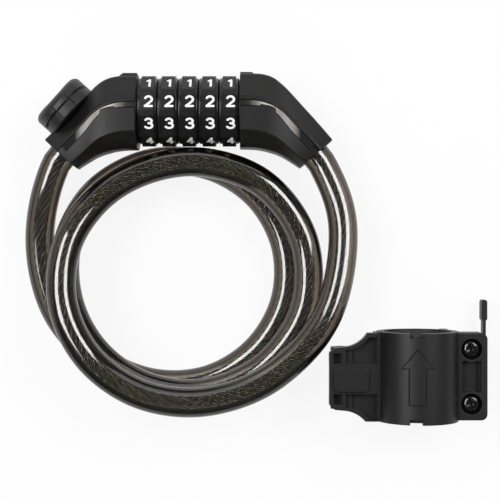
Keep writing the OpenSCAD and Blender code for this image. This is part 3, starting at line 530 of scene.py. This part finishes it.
# Sizes and outlines in mm: each outline has a row for each of nine stations from the dials
# to the cable, out from the housing's inner face and up, and the third number on the
# coil's side is how far the housing has thinned down to its arm
housing_face = 20.95
housing_half_t = 15.5
arm_half_t = 10.0
last_station = 8
right_side_rise = 0.35
channel_deep = 1.4
end_shrink = 0.988
left_stops = [[0, 13.6], [5, 13.7], [9.5, 13.3], [13.3, 12.0], [16.4, 9.9], [19.4, 7.0],
              [25.0, 0.8], [31.0, -5.5], [37.9, -12.1]]
right_stops = [[0, 14.6], [5, 14.7], [9.5, 14.4], [13.5, 13.1], [16.8, 10.7], [20.0, 7.7],
               [25.8, 1.4], [31.6, -4.9], [37.9, -12.1]]
coil_side_stops = [[0, -15.8, 0], [4.6, -15.9, 0], [8.4, -16.3, 0.02], [11.8, -17.1, 0.07],
                   [15, -18.1, 0.18], [17.8, -19.4, 0.33], [20.2, -20.9, 0.55],
                   [22.4, -22.3, 0.76], [24.7, -23.9, 1]]


def along(rows, t):
    """The value of a table of rows at row t, with a smooth line between the rows."""
    i = min(int(t), len(rows) - 2)
    f = t - i
    a, b, c, d = (Vector(rows[max(0, min(k, len(rows) - 1))]) for k in range(i - 1, i + 3))
    return 0.5 * (2 * b + (c - a) * f + (2 * a - 5 * b + 4 * c - d) * f * f
                  + (3 * b - a - 3 * c + d) * f ** 3)


def step_table(rows, t):
    """The value at t of [t, value] rows with straight lines between them."""
    for (t0, a), (t1, b) in zip(rows, rows[1:]):
        if t <= t1:
            return a + (b - a) * (t - t0) / (t1 - t0)
    return rows[-1][1]


# Edges across a housing's face, from -1 at its outer edge to 1 at the coil's side, by
# station: the outer lip, the channel's inner wall and the raised panel
lip_edge = [[0, -0.245], [1.2, -0.235], [2.4, -0.205], [4.4, -0.205], [5.5, -0.17], [8, -0.18]]
channel_edge = [[0, -0.05], [1.72, -0.05], [1.9, -0.095], [3.5, -0.125], [3.58, -0.01],
                [4.05, 0.02], [4.75, 0.09], [5.5, 0.15], [8, 0.19]]
panel_edge = [[0, 0.585], [3.6, 0.635], [5.3, 0.70], [8, 0.73]]


def housing_point(side, t, u, v, lift=0.0, push=0.0):
    """A point of a housing: u across, v from the parting plane (0) to a face (1 or -1),
    lift mm above that and push mm outwards along the housing."""
    outer = along(left_stops if side < 0 else right_stops, t)
    inner_x, inner_y, thinning = along(coil_side_stops, t)
    inner = Vector((inner_x, inner_y + (right_side_rise if side > 0 else 0)))
    thick = housing_half_t + (arm_half_t - housing_half_t) * thinning
    middle, half = (outer + inner) / 2, (inner - outer) / 2
    way = Vector((-half.y, half.x)).normalized() * push
    spot = middle + u * half + way
    return lock_point(side * (housing_face + spot.x), spot.y, dial_middle_z + v * thick + lift)


def housing_section(t):
    """The corners round a housing at a station: u, v and the lift in mm of each."""
    a, b, c = step_table(lip_edge, t), step_table(channel_edge, t), step_table(panel_edge, t)
    face = [(-0.985, 0, 0), (-1, 0.02, 0), (-1, 0.40, 0), (-0.965, 0.48, 0),
            (a - 0.10, 0.975, 0), (a - 0.03, 1, 0), (a, 1, 0), (a + 0.004, 1, -channel_deep),
            (b - 0.004, 1, -channel_deep), (b, 1, 0), (c - 0.03, 1, 0), (c + 0.015, 0.978, 0),
            (0.94, 0.5, 0), (0.985, 0.4, 0), (1, 0.3, 0), (1, 0.02, 0), (0.985, 0, 0)]
    back = [(1, -0.02, 0), (1, -0.3, 0), (0.98, -0.4, 0), (0.93, -0.5, 0), (0.54, -0.97, 0),
            (0.46, -1, 0), (-0.34, -1, 0), (-0.42, -0.96, 0), (-0.9, -0.55, 0),
            (-0.97, -0.46, 0), (-1, -0.38, 0), (-1, -0.02, 0)]
    return face + back


def fine_ring(points, parts):
    """A ring of points with its edges cut up. parts is the number of parts of each edge."""
    ring = []
    for a, b, count in zip(points, points[1:] + points[:1], parts):
        ring += [a.lerp(b, k / count) for k in range(count)]
    return ring


def polar_skin(work, rows):
    """Faces between rows of points that go round an axis."""
    for a, b in zip(rows, rows[1:]):
        for i in range(len(a)):
            k = (i + 1) % len(a)
            work.faces.new((a[i], a[k], b[k], b[i]))


def housing_mesh(work, side):
    """A closed shell with a round opening at each end, a collar beside the dials and its
    tab. The longest edge round it, and the openings' radii and depths, are in metres."""
    longest_edge = 0.0011
    stations = [0, 0.06] + [0.25 * k for k in range(1, 7)] + [
        1.62, 1.72, 1.76, 1.81, 1.86, 1.9, 2.0, 2.2] + [0.2 * k for k in range(12, 18)] + [
        3.5, 3.55, 3.6, 3.66, 3.72, 3.8, 3.9] + [0.25 * k for k in range(16, 32)] + [7.94, 8]
    corners = [housing_point(side, 0, *corner) for corner in housing_section(0)]
    parts = [max(1, round((b - a).length / longest_edge))
             for a, b in zip(corners, corners[1:] + corners[:1])]
    rings = []
    for t in stations:
        shrink = end_shrink if t in (0, last_station) else 1.0
        points = [housing_point(side, t, u * shrink, v * shrink, lift)
                  for u, v, lift in housing_section(t)]
        rings.append([work.verts.new(p) for p in fine_ring(points, parts)])
    polar_skin(work, rings)
    n = len(rings[0])
    for ring, t, radius, deep in ((rings[0], 0, 0.01094, 0.008),
                                  (rings[-1], last_station, 0.0063, 0.004)):
        centre = lock_point(side * housing_face, 0, dial_middle_z) if t == 0 else (
            housing_point(side, t, 0, 0))
        wide = housing_point(side, t, 1, 0) - housing_point(side, t, -1, 0)
        wide.normalize()
        up = Vector((0, 0, 1))
        inward = housing_point(side, last_station // 2, 0, 0) - centre
        inward -= inward.dot(wide) * wide + inward.dot(up) * up
        inward.normalize()
        mouth, floor_ring = [], []
        for vert in ring:
            offset = vert.co - centre
            way = (offset.dot(wide) * wide + offset.dot(up) * up).normalized()
            mouth.append(work.verts.new(centre + way * radius))
            floor_ring.append(work.verts.new(centre + way * radius + inward * deep))
        for i in range(n):
            k = (i + 1) % n
            work.faces.new((ring[i], ring[k], mouth[k], mouth[i]))
            work.faces.new((mouth[i], mouth[k], floor_ring[k], floor_ring[i]))
        work.faces.new(floor_ring)
    collar, collar_sides = [(11.0, 0.1), (11.0, -0.2), (12.95, -0.2), (13.05, 0.1)], 72
    rows = [[work.verts.new(lock_point(side * (housing_face + x), radius * math.sin(a),
                                       dial_middle_z + radius * math.cos(a)))
             for a in (2 * math.pi * k / collar_sides for k in range(collar_sides))]
            for radius, x in collar]
    polar_skin(work, rows + rows[:1])
    top, base_x, top_x = (15.1, 7.4, 5.8) if side < 0 else (15.5, 6.3, 4.9)
    near_x, low, slope = 0.15, 10.5, 1.2
    tab = []
    for z, drop in ((-4.7, 0.0), (-5, 0.3), (5, 0.3), (4.7, 0.0)):
        tab.append([work.verts.new(lock_point(side * (housing_face + x), y, dial_middle_z + z))
                    for x, y in ((near_x, low), (near_x, top - drop), (top_x, top - drop),
                                 (base_x, top - slope), (base_x, low))])
    order = (tab[1], tab[0], tab[3], tab[2])
    polar_skin(work, order)
    work.faces.new(order[0][::-1])
    work.faces.new(order[-1])
    bmesh.ops.recalc_face_normals(work, faces=work.faces)


# The strips' finish: dark vinyl with a painted sheen, grey and light bands painted into its
# colour where it catches reflections, black towards both ends. Its painted shades follow the
# distance in metres from the middle of the dials.
strip_painted_sheen, nodes, links, shader = new_finish("strip_painted_sheen")
place = nodes.new("ShaderNodeTexCoord")
split = nodes.new("ShaderNodeSeparateXYZ")
links.new(place.outputs["Object"], split.inputs["Vector"])
middle_off = maths(nodes, links, "ADD", split.outputs["X"], 0.03106)
sideways = maths(nodes, links, "ABSOLUTE", middle_off)
share_out = map_range(nodes, links, sideways, (0.021, 0.058))
# Painted reflection: these grey and light bands stand in for the strip's sheen, lightest near the
# middle and black towards both ends
painted_sheen_ramp = colour_ramp(nodes, (0.03, (0.014, 0.014, 0.014)), (0.98, (0.01, 0.01, 0.01)),
                      (0.1, (0.03, 0.029, 0.028)), (0.19, (0.2, 0.195, 0.185)),
                      (0.27, (0.56, 0.55, 0.53)), (0.36, (0.50, 0.48, 0.46)),
                      (0.42, (0.24, 0.23, 0.22)), (0.52, (0.33, 0.31, 0.29)),
                      (0.59, (0.25, 0.23, 0.22)), (0.66, (0.012, 0.012, 0.012)))
links.new(share_out, painted_sheen_ramp.inputs["Fac"])
links.new(painted_sheen_ramp.outputs["Color"], shader.inputs["Base Color"])
dull_end = map_range(nodes, links, share_out, (0.58, 0.66), (0.33, 0.85))
links.new(dull_end, shader.inputs["Roughness"])
shader.inputs["Specular IOR Level"].default_value = 0.25


strip_gap = 0.026


def strip_mesh(work, side):
    """A soft strip laid in the channel, 0.3 mm below the housing's face."""
    stations = [0.02, 0.5, 1.0, 1.5, 1.7, 1.74, 1.78, 1.82, 1.86, 1.9, 2.2, 2.6, 3.0, 3.4, 3.56,
                3.6, 3.64, 3.68, 3.72, 4.0, 4.5, 5.0, 5.5, 6.0, 6.5, 7.0, 7.5]
    rings = []
    for t in stations:
        a, b = step_table(lip_edge, t) + strip_gap, step_table(channel_edge, t) - strip_gap
        rings.append([work.verts.new(housing_point(side, t, u, 1, lift))
                      for u, lift in ((a, -1.3), (a, -0.4), (a + 0.008, -0.3), (b - 0.008, -0.3),
                                      (b, -0.4), (b, -1.3))])
    polar_skin(work, rings)
    work.faces.new(rings[0][::-1])
    work.faces.new(rings[-1])
    bmesh.ops.recalc_face_normals(work, faces=work.faces)


for side, name, body in ((-1, "left", "lock_body"), (1, "right", "plug")):
    shell = new_piece(name + "_shell", lambda work: housing_mesh(work, side),
                      housing_black, body, 14)
    strip = new_piece(name + "_strip", lambda work: strip_mesh(work, side), strip_painted_sheen, body, 30)
    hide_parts(name + "_housing_front", name + "_housing_back")
    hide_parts(name + "_inlay")

# Mounting knob: a moulded black disc on the left housing's outer edge, with a groove cut
# in its far and near side, held by a steel cross-head screw down its middle. All of it
# is turned about one axis, and its outer face is crowned.
knob_black = moulded_finish("knob_black", (0.012, 0.0117, 0.012), 0.42, 0.00003, 0.0005,
                            edge=0.0004)
knob_r = 12.0
knob_lean = 42
knob_x, knob_y = -48.35, -0.6
groove_height = 2.7
groove_deep = 1.2
mark_turn = 18
mark_deep = 0.5
face_crown = 2.5


def knob_point(radius, turn, height):
    """A point of the knob: turn in degrees from straight up, height in mm above the
    housing's outer edge."""
    lean, a = math.radians(knob_lean), math.radians(turn)
    out_x, out_y = -math.cos(lean), math.sin(lean)
    side = radius * math.sin(a)
    return lock_point(knob_x + height * out_x + side * out_y,
                      knob_y + height * out_y - side * out_x,
                      dial_middle_z + radius * math.cos(a))


def knob_mesh(work):
    """The knob's turned wall, with the groove that runs out sideways, wider beyond the
    two marks cut across it, and a hole in its crowned face for the screw."""
    marks = (mark_turn, 180 - mark_turn, -mark_turn, mark_turn - 180)
    turns = sorted(set(range(-180, 180, 4)) | {
        way + off for way in marks for off in (-1.2, -0.9, 0.9, 1.2)})
    walls = []
    for turn in turns:
        from_face = min(abs(turn), 180 - abs(turn))
        deep = groove_deep * min(1, max(0, (72 - from_face) / 5))
        half = 0.25 if from_face < mark_turn + 1 else 0.62
        mark = mark_deep if abs(from_face - mark_turn) < 1 else 0.0
        wall = [(knob_r - 0.4, -1.7), (knob_r, -1.3), (knob_r - mark, -1.28),
                (knob_r - mark, groove_height - half - 0.02),
                (knob_r - deep - mark, groove_height - half),
                (knob_r - deep - mark, groove_height + half),
                (knob_r - mark, groove_height + half + 0.02), (knob_r - mark, 7.1),
                (knob_r - 0.2, 7.7), (knob_r - 0.9, 8.5), (knob_r - 1.9, 9.0),
                (knob_r - 3.0, 9.15), (4.0, 9.15), (3.75, 8.9), (3.75, 7.2)]
        upright = (math.cos(math.radians(turn)) / knob_r) ** 2
        walls.append([work.verts.new(knob_point(
            r, turn, h - (face_crown * upright * r * r if h > 6.5 else 0))) for r, h in wall])
    rows = [list(row) for row in zip(*walls)]
    polar_skin(work, rows)
    work.faces.new(rows[0])
    work.faces.new(rows[-1])
    bmesh.ops.recalc_face_normals(work, faces=work.faces)


knob = new_piece("mounting_knob", knob_mesh, knob_black, "lock_body", 25)
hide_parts("stud_base", "stud_cap")


def cross_screw_mesh(work, spot, rows):
    """A screw with a cross in its head. spot(radius, turn, height) gives a point, and rows
    are (radius, height, height in the cross) from the head's middle to the screw's tip."""
    cross_half = 13
    turns = [90 * q + off for q in range(4)
             for off in (-cross_half - 1, -cross_half, 0, cross_half, cross_half + 1, 30, 45, 60)]
    skin = []
    for radius, high, sunk in rows:
        skin.append([])
        for turn in turns:
            in_cross = abs((turn + 45) % 90 - 45) <= cross_half
            skin[-1].append(work.verts.new(spot(radius, turn, sunk if in_cross else high)))
    polar_skin(work, skin)
    work.faces.new(skin[0])
    work.faces.new(skin[-1])
    bmesh.ops.recalc_face_normals(work, faces=work.faces)


def metal_finish(name, colour, roughness):
    """Turned or drawn metal with fine marks."""
    finish, nodes, links, shader = new_finish(name)
    place = nodes.new("ShaderNodeTexCoord")
    marks = nodes.new("ShaderNodeTexNoise")
    marks.inputs["Scale"].default_value = 900
    spread = 0.07
    shade = map_range(nodes, links, marks.outputs["Fac"],
                      result=(roughness - spread, roughness + spread))
    links.new(place.outputs["Object"], marks.inputs["Vector"])
    links.new(shade, shader.inputs["Roughness"])
    shader.inputs["Base Color"].default_value = (*colour, 1)
    shader.inputs["Metallic"].default_value = 1.0
    return finish


machined_steel = metal_finish("machined_steel", (0.55, 0.55, 0.56), 0.35)
knob_screw = new_piece("knob_screw", lambda work: cross_screw_mesh(work, knob_point, [
    (0.7, 7.9, 7.9), (0.9, 8.8, 7.9), (2.0, 8.8, 7.9), (2.1, 8.8, 8.8), (3.1, 8.75, 8.75),
    (3.5, 8.4, 8.4), (3.5, 7.2, 7.2)]), machined_steel, "lock_body", 30)
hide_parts("stud_screw")


# Clamp screws: two black-plated steel screws with domed cross heads. Each goes down
# through the bracket's front half into a nut held in the rear half.
gloss_black = moulded_finish("gloss_black", (0.004, 0.004, 0.004), 0.14, 0.00006, 0.0006,
                             coat=0.6)
cross_turn = 22
for level in ("upper", "lower"):
    low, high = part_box("clamp_screw_" + level)

    def screw_spot(radius, turn, height):
        """A point of the screw: turn in degrees from +X, height in mm above its solid."""
        a = math.radians(turn + cross_turn)
        return Vector(((low[0] + high[0]) / 2 + radius * math.cos(a) / 1000,
                       (low[1] + high[1]) / 2 + radius * math.sin(a) / 1000,
                       high[2] + height / 1000))

    tip = (low[2] - high[2]) * 1000
    screw = new_piece(f"clamp_screw_{level}_turned", lambda work: cross_screw_mesh(
        work, screw_spot, [(0.7, -1.5, -1.5), (0.9, 0, -1.4), (2.2, -0.08, -1.2),
                           (2.35, -0.12, -0.12), (3.0, -0.38, -0.38), (3.5, -0.82, -0.82),
                           (3.8, -1.45, -1.45), (3.8, -2.4, -2.4), (2.0, -2.4, -2.4),
                           (2.0, tip, tip)]), gloss_black, "screw_" + level, 30)
    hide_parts("clamp_screw_" + level)


# Bracket and the pieces inside the lock, which keep their solids: a moulded clamp with
# rubber liners that is screwed round a frame tube, its release latch, and the lock's
# steel core, tube, code rings, springs, pins and crimped ferrules.
bracket_black = moulded_finish("bracket_black", (0.009, 0.0088, 0.0094), 0.46, 0.000025, 0.0005,
                               edge=0.0004, shine=0.42)
rubber_grey = moulded_finish("rubber_grey", (0.03, 0.03, 0.031), 0.7)
spring_bright = metal_finish("spring_bright", (0.7, 0.7, 0.71), 0.2)
code_brass = metal_finish("code_brass", (0.72, 0.53, 0.26), 0.3)
ferrule_grey = metal_finish("ferrule_grey", (0.6, 0.6, 0.61), 0.4)
node_finishes = [
    (machined_steel, ["lock_core", "lock_tube", "tube_end_cap", "plug_core", "plug_rod",
                      "clamp_nuts", "hinge_pin", "latch_pin"]),
    (ferrule_grey, ["left_ferrule", "right_ferrule"]),
    (spring_bright, ["detent_spring", "latch_spring"]),
    (code_brass, [f"code_ring_{k}" for k in range(1, 6)]),
    (bracket_black, ["clamp_front", "clamp_rear", "release_latch"]),
    (rubber_grey, ["liner_front", "liner_rear"]),
]
for finish, names in node_finishes:
    for name in names:
        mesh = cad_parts[name].data
        mesh.materials.clear()
        mesh.materials.append(finish)


# Floor: a plain white table under the lock. It looks evenly white from above and in
# reflections, and takes the lock's shadows only faintly.
def straight_look(nodes, links):
    """Light Path, and an output that is 1 where the ray has only passed through the
    jacket."""
    seen = nodes.new("ShaderNodeLightPath")
    unscattered = maths(nodes, links, "COMPARE", seen.outputs["Ray Depth"],
                        seen.outputs["Transmission Depth"], 0.5)
    clear_look = maths(nodes, links, "MULTIPLY", unscattered, seen.outputs["Is Transmission Ray"])
    return seen, clear_look


floor_finish, nodes, links, shader = new_finish("floor_white")
shader.inputs["Base Color"].default_value = (0.9, 0.9, 0.9, 1)
shader.inputs["Roughness"].default_value = 0.7
glow = nodes.new("ShaderNodeEmission")
glow.inputs["Color"].default_value = (1, 1, 1, 1)
glow_share = 0.88
seen, clear_look = straight_look(nodes, links)
either = maths(nodes, links, "MAXIMUM", seen.outputs["Is Camera Ray"],
               seen.outputs["Is Glossy Ray"])
any_look = maths(nodes, links, "MAXIMUM", either, clear_look)
mix = nodes.new("ShaderNodeMixShader")
out = next(node for node in nodes if node.type == "OUTPUT_MATERIAL")
links.new(maths(nodes, links, "MULTIPLY", any_look, glow_share), mix.inputs["Fac"])
links.new(shader.outputs["BSDF"], mix.inputs[1])
links.new(glow.outputs["Emission"], mix.inputs[2])
links.new(mix.outputs["Shader"], out.inputs["Surface"])


def floor_mesh(work):
    """A square of 4 m, a little below the lock."""
    reach, level = 2, -0.0002
    work.faces.new([work.verts.new((x, y, level)) for x, y in (
        (-reach, -reach), (reach, -reach), (reach, reach), (-reach, reach))])


floor = new_piece("floor", floor_mesh, floor_finish, None)


# Lamps: two soft boxes above the table, a dim panel at its far side and one at its near
# side that only fills the shadows, and a faint white surround.
def soft_box(name, bearing, tilt, away, width, height, glow):
    """A rectangular lamp that looks at the lock. bearing is from +X towards +Y, tilt is
    from straight up, both in degrees, and glow is its brightness, where 1 is white."""
    a, b = math.radians(bearing), math.radians(tilt)
    place = away * Vector((math.sin(b) * math.cos(a), math.sin(b) * math.sin(a), math.cos(b)))
    lamp_data = bpy.data.lights.new(name, "AREA")
    lamp_data.shape = "RECTANGLE"
    lamp_data.size = width
    lamp_data.size_y = height
    lamp_data.energy = glow * math.pi * width * height
    lamp = bpy.data.objects.new(name, lamp_data)
    lamp.location = place
    lamp.rotation_euler = (-place).to_track_quat("-Z", "Y").to_euler()
    bpy.context.scene.collection.objects.link(lamp)
    return lamp


soft_box("left_box", 163, 32, 1.0, 0.8, 0.37, 7)
soft_box("right_box", 28, 40, 1.0, 0.5, 0.42, 7)
soft_box("far_panel", 90, 66, 1.2, 1.4, 0.7, 0.9)
near_panel = soft_box("near_panel", -90, 72, 1.2, 1.4, 0.5, 2.6)
near_panel.visible_glossy = False

world = bpy.data.worlds.new("studio")
bpy.context.scene.world = world
world.use_nodes = True
nodes, links = world.node_tree.nodes, world.node_tree.links
sky = nodes["Background"]
sky.inputs["Color"].default_value = (1, 1, 1, 1)
seen, clear_look = straight_look(nodes, links)
through = maths(nodes, links, "MAXIMUM", seen.outputs["Is Camera Ray"], clear_look)
links.new(map_range(nodes, links, through, result=(0.1, 1)), sky.inputs["Strength"])
bpy.context.scene.view_settings.view_transform = "Standard"
